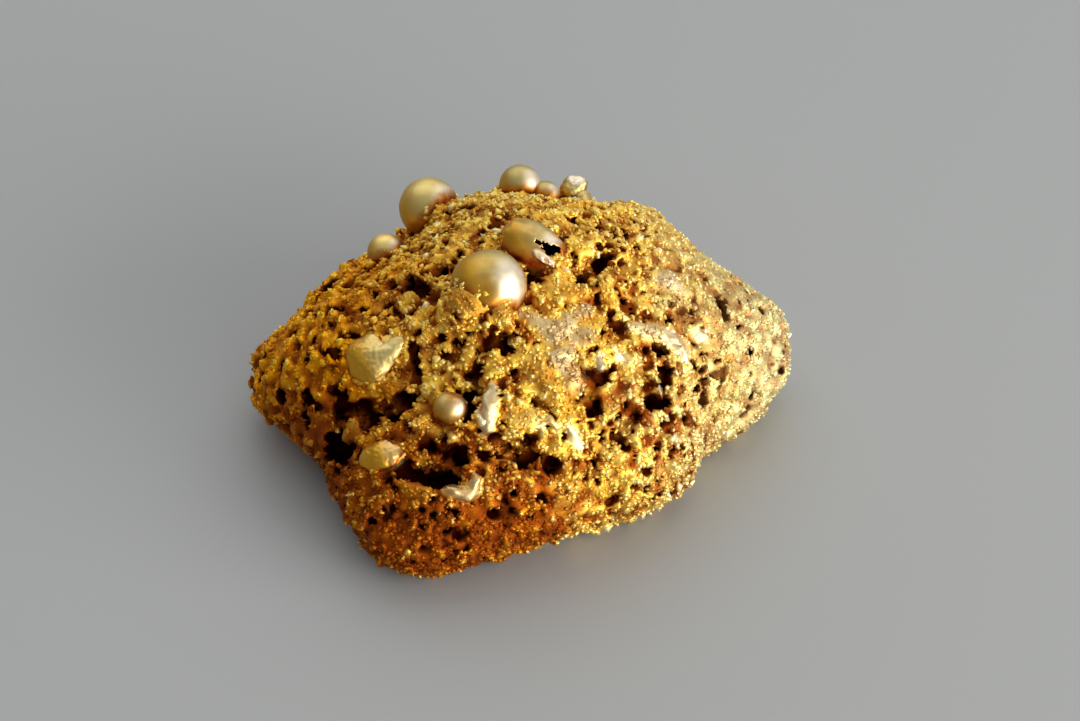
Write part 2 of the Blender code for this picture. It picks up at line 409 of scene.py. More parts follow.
chambers = {
    "longLeft": (-0.1, [(-4.95, -8.35, 0.55), (-4.5, -8.45, 0.75), (-3.95, -8.6, 0.7)]),
    "longRight": (-0.1, [(-3.75, -8.6, 0.65), (-3.25, -8.5, 0.8), (-2.75, -8.45, 0.7)]),
    "frontSlit": (-0.25, [(-0.95, -8.05, 0.42), (-0.5, -8.15, 0.45), (0.1, -8.1, 0.45), (0.45, -8.0, 0.4)]),
    "slitHole": (-0.2, [(-1.6, -8.4, 0.32), (-1.5, -8.4, 0.32)]),
    "leftWall": (-0.35, [(-7.9, -4.4, 0.5), (-7.9, -5.1, 0.7), (-7.85, -5.8, 0.75), (-7.9, -6.4, 0.55)]),
    "leftGap": (-0.45, [(-6.6, -5.2, 0.5), (-6.1, -5.5, 0.65), (-5.4, -5.6, 0.65), (-4.9, -5.7, 0.55)]),
    "beadGap": (-0.3, [(-1.75, -5.3, 0.28), (-2.15, -6.0, 0.36), (-2.2, -6.6, 0.34), (-2.4, -7.2, 0.34)]),
    "underBead": (-0.25, [(-4.0, -7.5, 0.42), (-3.5, -7.75, 0.36)]),
    "besideHorn": (-0.2, [(-4.75, -3.5, 0.26), (-4.6, -4.2, 0.32), (-4.5, -4.9, 0.26)]),
    "dropGap": (-0.25, [(-0.75, -6.2, 0.26), (-0.8, -6.7, 0.26)]),
    "roundHole": (-0.3, [(0.75, -6.85, 0.42), (1.1, -6.95, 0.46)]),
    "frontRight": (-0.3, [(2.75, -6.2, 0.42), (3.2, -6.15, 0.42)]),
    "paleHole": (-0.2, [(2.9, -5.3, 0.3), (3.2, -5.3, 0.34)]),
    "brownHole": (-0.25, [(3.6, -5.35, 0.32), (3.8, -5.25, 0.32)]),
    "lowRight": (-0.25, [(4.3, -6.6, 0.3), (4.4, -6.6, 0.3)]),
    "underCrown": (-0.25, [(-1.1, -4.5, 0.4), (-0.65, -4.55, 0.5), (-0.2, -4.5, 0.36)]),
    "rightHole": (-0.4, [(5.5, -4.75, 0.6), (5.95, -4.6, 0.66)]),
    "rightHoleSide": (-0.2, [(6.6, -3.9, 0.36), (6.2, -4.1, 0.36)]),
    "wormGap": (-0.3, [(6.2, -3.1, 0.3), (6.6, -3, 0.3)]),
    "backHole": (-0.2, [(7, 1.3, 0.26), (7.1, 1.3, 0.26)]),
    "brownPatchA": (-0.2, [(9, 0.8, 0.3), (9.2, 0.4, 0.3)]),
    "brownPatchB": (-0.2, [(9.2, 0, 0.28), (9.3, -0.1, 0.28)]),
    "sideHoleA": (-0.2, [(9.1, -2.1, 0.26), (9.2, -2.1, 0.26)]),
    "sideHoleB": (-0.2, [(8.3, -3.3, 0.3), (8.3, -3.2, 0.3)]),
    "sideHoleC": (-0.2, [(6.6, -5.4, 0.3), (6.7, -5.3, 0.3)]),
    "sideHoleD": (-0.2, [(7.5, -4.7, 0.3), (7.6, -4.6, 0.3)]),
    "leftHollow": (-0.2, [(-4.3, -1.2, 0.4), (-5.0, -0.8, 0.4)]),
    "crackA": (-0.2, [(-5.2, 3.8, 0.22), (-5.1, 3.3, 0.22)]),
    "crackB": (-0.15, [(-4.6, 2, 0.2), (-4.2, 1.9, 0.2), (-3.8, 1.9, 0.2)]),
    "backHollow": (-0.2, [(-2.6, 5, 0.3), (-2.3, 5, 0.3)]),
    "behindCrown": (-0.25, [(2.6, -0.7, 0.36), (2.9, -0.5, 0.3)]),
    "behindSide": (-0.25, [(3.6, 0.1, 0.45), (3.9, 0.3, 0.36)]),
    "redHollow": (-0.25, [(-1.1, 2.1, 0.38), (-0.8, 2.2, 0.38)]),
    "crownShade": (-0.25, [(0.6, -1.5, 0.32), (0.9, -1.4, 0.32)]),
    "frontCrown": (-0.25, [(4.2, -2.9, 0.36), (4.5, -2.8, 0.36)]),
    "leftNick": (-0.2, [(-5.6, -0.2, 0.26), (-5.8, 0.2, 0.26)]),
    "wallA": (-0.2, [(-8.4, -3.8, 0.32), (-8.3, -3.9, 0.32)]),
    "wallB": (-0.2, [(-9.3, -3.7, 0.3), (-9.2, -3.8, 0.3)]),
    "wallC": (-0.2, [(-8.6, -2.4, 0.3), (-8.3, -2.6, 0.34)]),
    "lowNick": (-0.2, [(1, -9, 0.28), (1.1, -9, 0.28)]),
    "bottomSlit": (-0.15, [(-1.1, -9.8, 0.26), (-0.8, -9.75, 0.28), (-0.4, -9.7, 0.26)]),
}
strokeStep = 0.08


def strokeCloud(name, strokes, tree):
    # points along every stroke, laid on the lump, each with its reach in metres and its finish
    spots = []
    values = {"reach": [], "pale": [], "crumbed": []}
    for rise, finish, way in strokes:
        for a, b in zip(way, way[1:]):
            a, b = Vector(a), Vector(b)
            steps = max(1, round((b - a).xy.length / strokeStep))
            for k in range(steps + 1):
                x, y, radius = a.lerp(b, k / steps)
                point, normal = fromAbove(tree, x, y)
                spots.append(point + normal * rise * mm)
                for title, value in zip(values, (radius * mm, *finishes[finish])):
                    values[title].append(value)
    mesh = bpy.data.meshes.new(name)
    mesh.from_pydata(spots, [], [])
    storeOn(mesh, values)
    cloud = addObject(name, mesh)
    cloud.hide_render = True
    return cloud


# The crust: one porous skin with rounded nodules, irregular pores and ragged chambers.
crust = {
    "voxel": 0.125,
    "margin": 0.5,
    "swellingSunk": 0.10,  # how much farther inside a swelling it stays than inside a blister
    "bottom": 0.03,  # how far it stays off the ground
    "climb": 0.45,  # how high over the bare lump it may climb a blister
    "calmReach": (-0.06, 0.24),  # how far from a skin it is smooth, and rough again
    "meltReach": (0.02, 0.16),  # how far from a skin it still looks melted
    "ballReach": (0.25, 0.7),  # how high over the bare lump it is rough, and smooth
    "skinBends": ((0.9, 0.16), (0.32, 0.12)),  # size and height of the random bends in a skin's edge
    "chamberBends": ((0.9, 0.16), (0.4, 0.12)),
    "poreBend": (0.4, 0.2),
    "noduleSpan": (0.05, 0.85),  # from a nodule's flat top to its foot, as shares of its cell
    "noduleFoot": 0.12,  # how far the ground between nodules lies lower
    "poreLuck": (0.1, 0.9),  # the random numbers at which a pore is shut, and widest
    "hollowLuck": (0.45, 1.0),
    "skinRise": 0.5,  # how much higher bare skins count, so that the stain and painted shade stay off them
    "edge": 0.5,  # the density at its surface
    "tone": 0.22,  # its brightness among the crumbs, which have 0 to 1: set low, as painted shade between them
    "mostTriangles": 195000,
}
crustSizes = {
    "Ragged Size": 0.8,
    "Ragged Height": 0.22,
    "Nodule Size": 0.5,
    "Nodule Height": 0.26,
    "Pore Spacing": 0.52,
    "Pore Radius": 0.285,
    "Hollow Spacing": 1.7,
    "Hollow Radius": 0.62,
    "Pore Depth": 0.75,
    "Fillet": 0.25,  # how softly the crust climbs the blisters
    "Sunk": 0.12,  # how far inside a blister the crust stays
    "Skin Fillet": 0.22,  # how softly a melted skin joins the crust
    "Broken Inside": 1.22,  # radius of the empty space in the broken blister
}

# The crust is worn smoother this way, between these distances from the frame's middle. The shares are
# what is left of each thing where it is most worn.
wear = {"way": (0.96, 0.29, 0.0), "from": 3.5, "to": 10.0, "nodules": 0.75, "pores": 0.85, "hollows": 0.65,
        "crumbs": 0.85, "rarerPores": 0.3}


def leftOf(worn, share):
    # 1 where the crust isn't worn, down to the share where it is most worn
    return fade(worn, 0.0, 1.0, 1.0, share)


def cellDistance(place, spacing):
    # distance in millimetres to the nearest cell's middle, and one random number for each cell
    inputs = {"Vector": place, "Scale": calc("DIVIDE", 1.0, spacing), "Randomness": 1.0}
    cells = addNode(treeOf(place), "ShaderNodeTexVoronoi", inputs).outputs
    return times(cells["Distance"], spacing), split(cells["Color"])[0]


def drift(place, scale, detail):
    # a smooth random vector
    cloud = addNode(treeOf(place), "ShaderNodeTexNoise", {"Vector": place, "Scale": scale, "Detail": detail})
    return calcVector("SUBTRACT", cloud.outputs["Color"], (0.5, 0.5, 0.5))


def wobble(place, size, height):
    # place moved by a smooth random vector
    tree = treeOf(place)
    scale = made(tree, "ShaderNodeMath", {0: 1.0, 1: size}, operation="DIVIDE")
    far = made(tree, "ShaderNodeMath", {0: height, 1: 3.0}, operation="MULTIPLY")
    return calcVector("ADD", place, scaled(drift(place, scale, 2.0), far))


def bent(place, bends):
    for size, height in bends:
        place = wobble(place, size, height)
    return place


def strokeDistance(tree, cloud, place, *titles):
    # millimetres from the outside of the nearest stroke, negative within it, and its numbers of those titles
    points = addNode(tree, "GeometryNodeObjectInfo", {"Object": cloud}).outputs["Geometry"]
    metres = scaled(place, mm)
    inputs = {"Geometry": points, "Sample Position": metres}
    near = made(tree, "GeometryNodeSampleNearest", inputs, domain="POINT")

    def there(kind, value):
        inputs = {"Geometry": points, "Index": near, "Value": value}
        return made(tree, "GeometryNodeSampleIndex", inputs, data_type=kind, domain="POINT")

    spot = there("FLOAT_VECTOR", position(tree))
    away = calcVector("DISTANCE", metres, spot)
    side = minus(away, there("FLOAT", field(tree, "reach")))
    return times(side, 1 / mm), *(there("FLOAT", field(tree, title)) for title in titles)


def lumpDistance(tree, body, place):
    # signed distance from the lump in millimetres, positive outside
    metres = scaled(place, mm)
    inputs = {"Geometry": body, "Source Position": metres}
    near = addNode(tree, "GeometryNodeProximity", inputs, target_element="FACES").outputs
    inputs = {"Mesh": body, "Sample Position": metres, "Value": made(tree, "GeometryNodeInputNormal")}
    normal = made(tree, "GeometryNodeSampleNearestSurface", inputs, data_type="FLOAT_VECTOR")
    out = calcVector("SUBTRACT", metres, near["Position"])
    side = calc("SIGN", calcVector("DOT_PRODUCT", out, normal))
    return times(times(near["Distance"], 1 / mm), side)


def swellingDistance(swelling, place):
    # roughly how far outside a swelling a place is, in millimetres
    turn, _ = swellingFrame(swelling)
    step = calcVector("SUBTRACT", place, tuple(swelling["middle"]))
    sides = []
    for axis, half in zip(turn.transposed(), swelling["half"]):
        sides.append(calcVector("DOT_PRODUCT", step, tuple(axis / half)))
    inBall = made(treeOf(place), "ShaderNodeCombineXYZ", dict(enumerate(sides)))
    past = minus(calcVector("LENGTH", inBall), 1.0)
    return times(past, min(swelling["half"]))


def crustTree(lowest, highest, counts):
    others = {"Skins": "Object", "Chambers": "Object", "Gold": "Material"}
    tree, size, done = newTree("growCrust", crustSizes, others)
    body = size["Geometry"]
    here = scaled(position(tree), 1 / mm)
    ragged = wobble(here, size["Ragged Size"], size["Ragged Height"])

    lumpSide = lumpDistance(tree, body, ragged)
    balls = None
    for name, ball in blisters.items():
        if name not in roundBlisters:
            continue
        away = calcVector("DISTANCE", here, tuple(ball["middle"]))
        one = minus(away, ball["radius"])
        balls = one if balls is None else calc("MINIMUM", balls, one)
    for swelling in swellings.values():
        one = plus(swellingDistance(swelling, here), crust["swellingSunk"])
        balls = calc("MINIMUM", balls, one)
    foot = larger(plus(balls, size["Sunk"]), minus(lumpSide, crust["climb"]))
    grown = calc("SMOOTH_MIN", lumpSide, foot, size["Fillet"])

    melt = bent(here, crust["skinBends"])
    skinSide, pale, crumbed = strokeDistance(tree, size["Skins"], melt, "pale", "crumbed")
    calm = fade(skinSide, *crust["calmReach"])  # 0 on a skin, 1 away from it
    onBall = fade(lumpSide, *crust["ballReach"], 1.0, 0.0)
    rough = times(calm, onBall)
    worn = fade(calcVector("DOT_PRODUCT", here, wear["way"]), wear["from"], wear["to"])

    nodule, _ = cellDistance(ragged, size["Nodule Size"])
    share = calc("DIVIDE", nodule, size["Nodule Size"])
    dome = fade(share, *crust["noduleSpan"], 1.0, 0.0)
    tall = times(size["Nodule Height"], leftOf(worn, wear["nodules"]))
    bump = times(times(dome, tall), rough)
    bumpy = minus(plus(grown, times(rough, crust["noduleFoot"])), bump)

    poreWay = wobble(here, *crust["poreBend"])
    near, luck = cellDistance(poreWay, size["Pore Spacing"])
    shut, widest = crust["poreLuck"]
    shut = calc("MULTIPLY_ADD", worn, wear["rarerPores"], shut)
    wide = times(fade(luck, shut, widest), size["Pore Radius"])
    wide = times(wide, leftOf(worn, wear["pores"]))
    pores = minus(wide, near)
    near, luck = cellDistance(ragged, size["Hollow Spacing"])
    wide = times(fade(luck, *crust["hollowLuck"]), size["Hollow Radius"])
    wide = times(wide, leftOf(worn, wear["hollows"]))
    hollows = minus(wide, near)
    openness = larger(pores, hollows)
    openness = minus(openness, fade(rough, 0.0, 0.7, 0.5, 0.0))
    openness = calc("MINIMUM", openness, plus(grown, size["Pore Depth"]))
    porous = larger(bumpy, openness)

    chamber = strokeDistance(tree, size["Chambers"], bent(here, crust["chamberBends"]))[0]
    porous = larger(porous, times(chamber, -1.0))
    porous = calc("SMOOTH_MIN", porous, skinSide, size["Skin Fillet"])
    away = calcVector("DISTANCE", here, tuple(blisters["broken"]["middle"]))
    inside = minus(size["Broken Inside"], away)
    porous = larger(porous, inside)

    middle = (cadBox[0] + cadBox[1]) / 2 / mm
    half = (cadBox[1] - cadBox[0]) / 2 / mm
    offset = calcVector("ABSOLUTE", calcVector("SUBTRACT", here, tuple(middle)))
    past = split(calcVector("SUBTRACT", offset, tuple(half)))
    box = larger(larger(past[0], past[1]), past[2])
    above = split(here)[2]
    box = larger(box, minus(crust["bottom"], above))
    last = larger(porous, box)

    grid = {"Resolution " + axis: count for axis, count in zip("XYZ", counts)}
    grid |= {"Density": minus(crust["edge"], last), "Background": 0.0}
    grid |= {"Min": tuple(lowest), "Max": tuple(highest)}
    inputs = {"Volume": made(tree, "GeometryNodeVolumeCube", grid), "Threshold": crust["edge"]}
    skin = made(tree, "GeometryNodeVolumeToMesh", inputs, resolution_mode="GRID")
    melted = fade(skinSide, *crust["meltReach"], 1.0, 0.0)
    pale = times(melted, pale)
    patch = times(melted, crumbed)
    height = calc("MULTIPLY_ADD", minus(melted, patch), crust["skinRise"], grown)
    kept = {"depth": height, "calm": calm, "onBall": onBall, "worn": worn, "melted": melted, "pale": pale,
            "patch": patch, "tone": crust["tone"]}
    for title, value in kept.items():
        skin = store(tree, skin, title, value)
    coat(tree, skin, done, size["Gold"])
    return tree


def makeCrust(lump, skinCloud, chamberCloud, gold):
    lowest = cadBox[0] - Vector((1, 1, 1)) * crust["margin"] * mm
    highest = cadBox[1] + Vector((1, 1, 1)) * crust["margin"] * mm
    counts = [round((highest[i] - lowest[i]) / (crust["voxel"] * mm)) for i in range(3)]
    tree = crustTree(lowest, highest, counts)
    piece = grow("crust", lump, tree, {"Skins": skinCloud, "Chambers": chamberCloud, "Gold": gold})
    print("crust grown:", triangleCount(piece.data), "triangles, grid", counts)
    biggestIsland(piece.data)
    print("one skin:", triangleCount(piece.data), "triangles")
    return thinTo(piece, crust["mostTriangles"])


# Crumbs: small rounded grains stuck all over the crust, with gaps where the dark crust shows.
coarse = {"size": 0.42, "spacing": 0.50, "sunk": 0.10, "onPatch": 0.0, "sides": 7, "rings": 5, "seed": 3}
middling = {"size": 0.25, "spacing": 0.185, "sunk": 0.03, "onPatch": 1.0, "sides": 6, "rings": 4, "seed": 11}
fine = {"size": 0.18, "spacing": 0.23, "sunk": 0.02, "onPatch": 1.0, "sides": 5, "rings": 4, "seed": 37}
crumbs = {
    "coarseCrumbs": coarse, "crumbsA": middling, "crumbsB": middling, "crumbsC": middling, "fineCrumbs": fine,
}
crumbSizes = {
    "Lumpy": 1.35,  # how far the grains are from round, as a share of their size
    "Gap Size": 0.50,
    "Gap At": 0.425,
    "Underside": 0.35,  # how many of them stay on the flat bottom
}
middlingShares = ("crumbsA", "crumbsB", "crumbsC")  # every third of the middling ones goes to each piece
crumbRules = {
    "shapes": 7,
    "wornSunk": 0.06,  # how much deeper they sit on worn crust, as a share of their size
    "leftSunk": 0.16,  # how much deeper they sit at the left tip, as a share of their size
    "leftTip": (-9.5, -5.0),  # where that tip is, and where it ends
    "crowd": 1.6,  # tries for each place that could take a crumb
    "stretch": ((0.6, 0.6, 0.6), (1.4, 1.15, 1.15)),
    "sizes": (0.7, 1.3),
    "calmEdge": (0.35, 0.7),  # the values of calm, onBall and depth at which there are none, and all
    "ballEdge": (0.4, 0.8),
    "depthEdge": (-0.34, -0.04),
    "bottomEdge": (-0.95, -0.7),
    "wornGaps": 0.05,  # how much fewer gaps there are on worn crust
}


def chance(tree, seed, low, high, kind="FLOAT"):
    # a random value for each grain
    least, most, out = {"FLOAT_VECTOR": (0, 1, 0), "FLOAT": (2, 3, 1), "INT": (4, 5, 2)}[kind]
    inputs = {"Seed": seed, least: low, most: high}
    return addNode(tree, "FunctionNodeRandomValue", inputs, data_type=kind).outputs[out]


def crumbShapesOf(tree, crumb, lumpy):
    shapes = addNode(tree, "GeometryNodeJoinGeometry")
    place = position(tree)
    for k in range(crumbRules["shapes"]):
        inputs = {"Segments": crumb["sides"], "Rings": crumb["rings"], "Radius": 0.5}
        ball = made(tree, "GeometryNodeMeshUVSphere", inputs)
        where = calcVector("ADD", place, (k * 7.3, k * 3.1, 0.0))  # another part of the noise for each shape
        offset = scaled(drift(where, 2.0, 1.0), lumpy)
        moved = made(tree, "GeometryNodeSetPosition", {"Geometry": ball, "Offset": offset})
        plug(shapes.inputs[0], made(tree, "GeometryNodeGeometryToInstance", {0: moved}))
    return shapes.outputs[0]


def crumbRoom(tree, gapSize, gapAt, underside, onPatch):
    # where crumbs may sit: not on smooth skins or blisters, not deep in a pore, not in a gap
    patched = times(field(tree, "patch"), onPatch)
    free = larger(fade(field(tree, "calm"), *crumbRules["calmEdge"]), patched)
    room = times(free, fade(field(tree, "onBall"), *crumbRules["ballEdge"]))
    room = times(room, fade(field(tree, "depth"), *crumbRules["depthEdge"]))
    here = scaled(position(tree), 1 / mm)
    inputs = {"Vector": here, "Scale": calc("DIVIDE", 1.0, gapSize), "Detail": 1.5, "Roughness": 0.6}
    gaps = made(tree, "ShaderNodeTexNoise", inputs)
    limit = minus(gapAt, times(field(tree, "worn"), crumbRules["wornGaps"]))
    room = times(room, calc("GREATER_THAN", gaps, limit))
    up = split(made(tree, "GeometryNodeInputNormal"))[2]
    return times(room, fade(up, *crumbRules["bottomEdge"], underside, 1.0))


def crumbTree(name):
    crumb = crumbs[name]
    sizes = {
        "Size": crumb["size"] * mm, "Spacing": crumb["spacing"] * mm, "Sunk": crumb["sunk"] * mm,
        "Worn Sunk": crumbRules["wornSunk"] * crumb["size"] * mm,
        "Left Sunk": crumbRules["leftSunk"] * crumb["size"] * mm,
        "On Patches": crumb["onPatch"], "Seed": crumb["seed"], **crumbSizes,
    }
    tree, size, done = newTree(name, sizes, {"Gold": "Material"})
    room = crumbRoom(tree, size["Gap Size"], size["Gap At"], size["Underside"], size["On Patches"])
    inputs = {"Mesh": size["Geometry"], "Distance Min": size["Spacing"], "Density Factor": room,
              "Density Max": crumbRules["crowd"] / (crumb["spacing"] * mm) ** 2, "Seed": size["Seed"]}
    scatter = addNode(tree, "GeometryNodeDistributePointsOnFaces", inputs, distribute_method="POISSON")
    points = scatter.outputs["Points"]
    if name in middlingShares:
        turnOf = calc("MODULO", made(tree, "GeometryNodeInputIndex"), len(middlingShares))
        other = calc("GREATER_THAN", calc("ABSOLUTE", minus(turnOf, middlingShares.index(name))), 0.5)
        inputs = {"Geometry": points, "Selection": other}
        points = made(tree, "GeometryNodeDeleteGeometry", inputs, domain="POINT")
    points = store(tree, points, "outward", scatter.outputs["Normal"], "FLOAT_VECTOR")
    points = store(tree, points, "seat", position(tree), "FLOAT_VECTOR")
    deeper = calc("MULTIPLY_ADD", field(tree, "worn"), size["Worn Sunk"], size["Sunk"])
    across = split(field(tree, "seat", "FLOAT_VECTOR"))[0]
    left = fade(across, *(edge * mm for edge in crumbRules["leftTip"]), 1.0, 0.0)
    deeper = calc("MULTIPLY_ADD", left, size["Left Sunk"], deeper)
    sink = scaled(field(tree, "outward", "FLOAT_VECTOR"), times(deeper, -1.0))
    points = made(tree, "GeometryNodeSetPosition", {"Geometry": points, "Offset": sink})
    stretch = chance(tree, 3, *crumbRules["stretch"], "FLOAT_VECTOR")
    small = leftOf(field(tree, "worn"), wear["crumbs"])
    grown = times(times(chance(tree, 4, *crumbRules["sizes"]), small), size["Size"])
    whole = scaled(stretch, grown)
    inputs = {"Points": points, "Instance": crumbShapesOf(tree, crumb, size["Lumpy"]), "Pick Instance": True,
              "Instance Index": chance(tree, 2, 0, crumbRules["shapes"] - 1, "INT"),
              "Rotation": chance(tree, 1, (-math.pi,) * 3, (math.pi,) * 3, "FLOAT_VECTOR"), "Scale": whole}
    placed = made(tree, "GeometryNodeInstanceOnPoints", inputs)
    toned = store(tree, placed, "tone", chance(tree, 5, 0.0, 1.0), "FLOAT", "INSTANCE")
    real = made(tree, "GeometryNodeRealizeInstances", {"Geometry": toned})
    here = position(tree)
    step = calcVector("SUBTRACT", here, field(tree, "seat", "FLOAT_VECTOR"))
    lift = calcVector("DOT_PRODUCT", step, field(tree, "outward", "FLOAT_VECTOR"))
    height = plus(field(tree, "depth"), times(lift, 1 / mm))
    real = store(tree, real, "depth", height)
    lowest = cadBox[0] + Vector((0, 0, crust["bottom"] * mm))
    inside = calcVector("MINIMUM", calcVector("MAXIMUM", here, tuple(lowest)), tuple(cadBox[1]))
    kept = made(tree, "GeometryNodeSetPosition", {"Geometry": real, "Position": inside})
    for spare in ("seat", "outward", "calm", "onBall", "melted"):
        kept = made(tree, "GeometryNodeRemoveAttribute", {"Geometry": kept, "Name": spare})
    coat(tree, kept, done, size["Gold"])
    return tree


def makeCrumbs(name, crustPiece, gold):
    piece = grow(name, crustPiece, crumbTree(name), {"Gold": gold})
    print(name + ":", triangleCount(piece.data), "triangles")
    return piece


# Blown blisters: thin smooth bubbles of gold, nearly round, with faint dents and creases.
bubble = {
    "subdivisions": 5,
    "bigSubdivisions": 6,  # for those wider than this
    "bigRadius": 1.2,
    "dentSize": 1.2,
    "dentHeight": 0.05,
    "creaseSize": 0.40,
    "creaseHeight": 0.008,
    "stainAndShadeReach": 0.80,
    "shadedWay": (-0.84, -0.1, -0.53),  # the side painted darker mustard, as shade away from the lamps
    "highlightWay": (0.75, -0.35, 0.56),  # and the side painted pale, as a highlight facing the window lamp
    # inside a torn skin the nearness is set past 1, which paints it near black as shade
    "insideNear": 1.7,
}
dimples = {"crown": ((-0.06, -0.78, 0.62), 0.46, 0.12)}  # its direction, its half width as a share, its depth


def dimpleShare(name, way):
    # 1 in the middle of a blister's dimple, 0 outside it
    if name not in dimples:
        return 0.0
    at, half, _ = dimples[name]
    return max(0.0, 1 - ((way - Vector(at)).length / half) ** 2) ** 2


def bubblePoint(name, way):
    # where the skin of a blister lies in that direction, in millimetres from its middle
    ball = blisters[name]
    radius = ball["radius"] + ball.get("swell", 0.0)
    spot = ball["middle"] + way * radius
    out = (noise.noise(spot / bubble["dentSize"]) - 0.7) * bubble["dentHeight"]
    out += noise.noise(spot / bubble["creaseSize"]) * bubble["creaseHeight"]
    if name in dimples:
        out -= dimples[name][2] * dimpleShare(name, way)
    return radius + out


def closeness(mesh, middle, ball, lumpTree, reach, least=0.0):
    # how near each point is to the bare lump: 1 where they touch, and more on the inside of a torn
    # skin; and how far it faces the side painted in shade and tarnish, and the side with a painted highlight
    near, aside, clean = [], [], []
    for vert in mesh.vertices:
        way = (vert.co - middle * mm).normalized()
        found = lumpTree.find_nearest(vert.co, reach * mm)
        share = 0 if found[0] is None else 1 - found[3] / (reach * mm)
        near.append(bubble["insideNear"] if vert.normal.dot(way) < 0 else max(least, share))
        aside.append(way.dot(Vector(bubble["shadedWay"])) + ball.get("shadeAndTarnish", 0.0))
        clean.append(way.dot(Vector(ball.get("highlightWay", bubble["highlightWay"]))))
    storeOn(mesh, {"near": near, "aside": aside, "clean": clean})


def bubbleMesh(name, work, gold):
    mesh = bpy.data.meshes.new(name)
    work.to_mesh(mesh)
    work.free()
    mesh.shade_smooth()
    mesh.materials.append(gold)
    return mesh


def shown(mesh):
    print(mesh.name + ":", triangleCount(mesh), "triangles")
    return addObject(mesh.name, mesh)


def makeBubble(name, lumpTree, gold):
    ball = blisters[name]
    steps = bubble["bigSubdivisions"] if ball["radius"] > bubble["bigRadius"] else bubble["subdivisions"]
    work = bmesh.new()
    bmesh.ops.create_icosphere(work, subdivisions=steps, radius=1)
    marks = work.verts.layers.float.new("mark")  # below 0 for a dimple painted brown as shade in its dent, above 0 for a pale lip
    for vert in work.verts:
        way = vert.co.normalized()
        vert[marks] = -dimpleShare(name, way)
        vert.co = (ball["middle"] + way * bubblePoint(name, way)) * mm
    mesh = bubbleMesh(name + "Blister", work, gold)
    closeness(mesh, ball["middle"], ball, lumpTree, bubble["stainAndShadeReach"])
    return shown(mesh)


def makeSwelling(name, lumpTree, gold):
    swelling = swellings[name]
    middle = Vector(swelling["middle"])
    turn, stretch = swellingFrame(swelling)
    hornWay, hornGain = Vector(swelling["horn"][0]).normalized(), swelling["horn"][1]
    work = bmesh.new()
    bmesh.ops.create_icosphere(work, subdivisions=bubble["bigSubdivisions"], radius=1)
    for vert in work.verts:
        way = vert.co.normalized()
        beside = (way - hornWay).length / swellingRules["hornWide"]
        horn = 1 + hornGain * max(0.0, 1 - beside * beside) ** 2
        stretched = stretch @ way
        stretched.x *= 1 + swelling["taper"] * way.y
        spot = middle + turn @ stretched * horn
        out = swelling["lumpy"] * noise.noise(spot / swellingRules["lumpSize"])
        out += swellingRules["grainHeight"] * noise.noise(spot / swellingRules["grainSize"])
        vert.co = (spot + turn @ way * out) * mm
    mesh = bubbleMesh(name, work, gold)
    closeness(mesh, middle, swelling, lumpTree, swellingRules["stainAndShadeReach"])
    return shown(mesh)


# The broken blister: a thin torn skin, with a raised lip beside its widest hole. Directions are from
# its middle.
torn = {
    "thickness": 0.10,
    "slim": 0.88,  # its size across, as a share of the round blister
    "long": 1.42,  # and along this way
    "way": (0.73, -0.46, -0.51),
    "holes": [((0.40, -0.55, 0.73), 0.22), ((0.54, -0.58, 0.58), 0.20), ((0.14, -0.44, 0.88), 0.08),
              ((0.58, -0.38, 0.70), 0.14)],
    "ragged": 0.8,
    "dent": 0.16,
    "lip": ((0.05, -0.78, 0.62), (0.74, -0.66, 0.14)),
    "lipWidth": 0.20,
    "lipHeight": 0.20,
    # how much of the foot's stain and painted contact shade lies over all of the broken blister
    "stainAndShade": 0.42,
    "cutBelow": -0.6,  # its buried part is left out
    "subdivisions": 6,
}


def alongLip(way):
    # how far aside of the lip's line a direction is
    start, end = (Vector(v).normalized() for v in torn["lip"])
    share = min(1.0, max(0.0, (way - start).dot(end - start) / (end - start).length_squared))
    return (way - start.lerp(end, share).normalized()).length


def makeTornBlister(lumpTree, gold):
    work = bmesh.new()
    bmesh.ops.create_icosphere(work, subdivisions=torn["subdivisions"], radius=1)
    ball = blisters["broken"]
    longWay = Vector(torn["way"]).normalized()
    holes = [(Vector(way).normalized(), half) for way, half in torn["holes"]]
    marks = work.verts.layers.float.new("mark")
    gone = []
    for vert in work.verts:
        way = vert.co.normalized()
        jag = 1 + torn["ragged"] * noise.noise(way * 5.0) + 0.4 * torn["ragged"] * noise.noise(way * 14.0)
        if any((way - hole).length < half * jag for hole, half in holes) or way.z < torn["cutBelow"]:
            gone.append(vert)
        vert[marks] = max(0.0, 1 - (alongLip(way) / torn["lipWidth"]) ** 2)
        raised = torn["lipHeight"] * vert[marks]
        dent = torn["dent"] * (noise.noise(way * 1.9 + Vector((3, 1, 2))) - 0.35)
        out = bubblePoint("broken", way) + raised * (1 + noise.noise(way * 7.0)) + dent
        step = way * out * torn["slim"]
        step += longWay * step.dot(longWay) * (torn["long"] / torn["slim"] - 1)
        vert.co = (ball["middle"] + step) * mm
    bmesh.ops.delete(work, geom=gone, context="VERTS")
    bmesh.ops.solidify(work, geom=work.faces[:], thickness=torn["thickness"] * mm)
    bmesh.ops.recalc_face_normals(work, faces=work.faces)
    mesh = bubbleMesh("brokenBlister", work, gold)
    closeness(mesh, ball["middle"], ball, lumpTree, bubble["stainAndShadeReach"], torn["stainAndShade"])
    return shown(mesh)


def newGroup(name, inputs, outputs):
    # inputs and outputs: their kinds by title
    group = bpy.data.node_groups.new(name, "ShaderNodeTree")
    for way, sockets in (("INPUT", inputs), ("OUTPUT", outputs)):
        for title, kind in sockets.items():
            group.interface.new_socket(title, in_out=way, socket_type="NodeSocket" + kind)
    return group, group.nodes.new("NodeGroupInput").outputs, group.nodes.new("NodeGroupOutput").inputs


def blend(factor, a, b, mode="MIX"):
    # colour a, turning into colour b as the factor goes from 0 to 1
    inputs = {0: factor, 6: a, 7: b}
    node = addNode(treeOf(factor, a), "ShaderNodeMix", inputs, data_type="RGBA", blend_type=mode)
    return node.outputs[2]


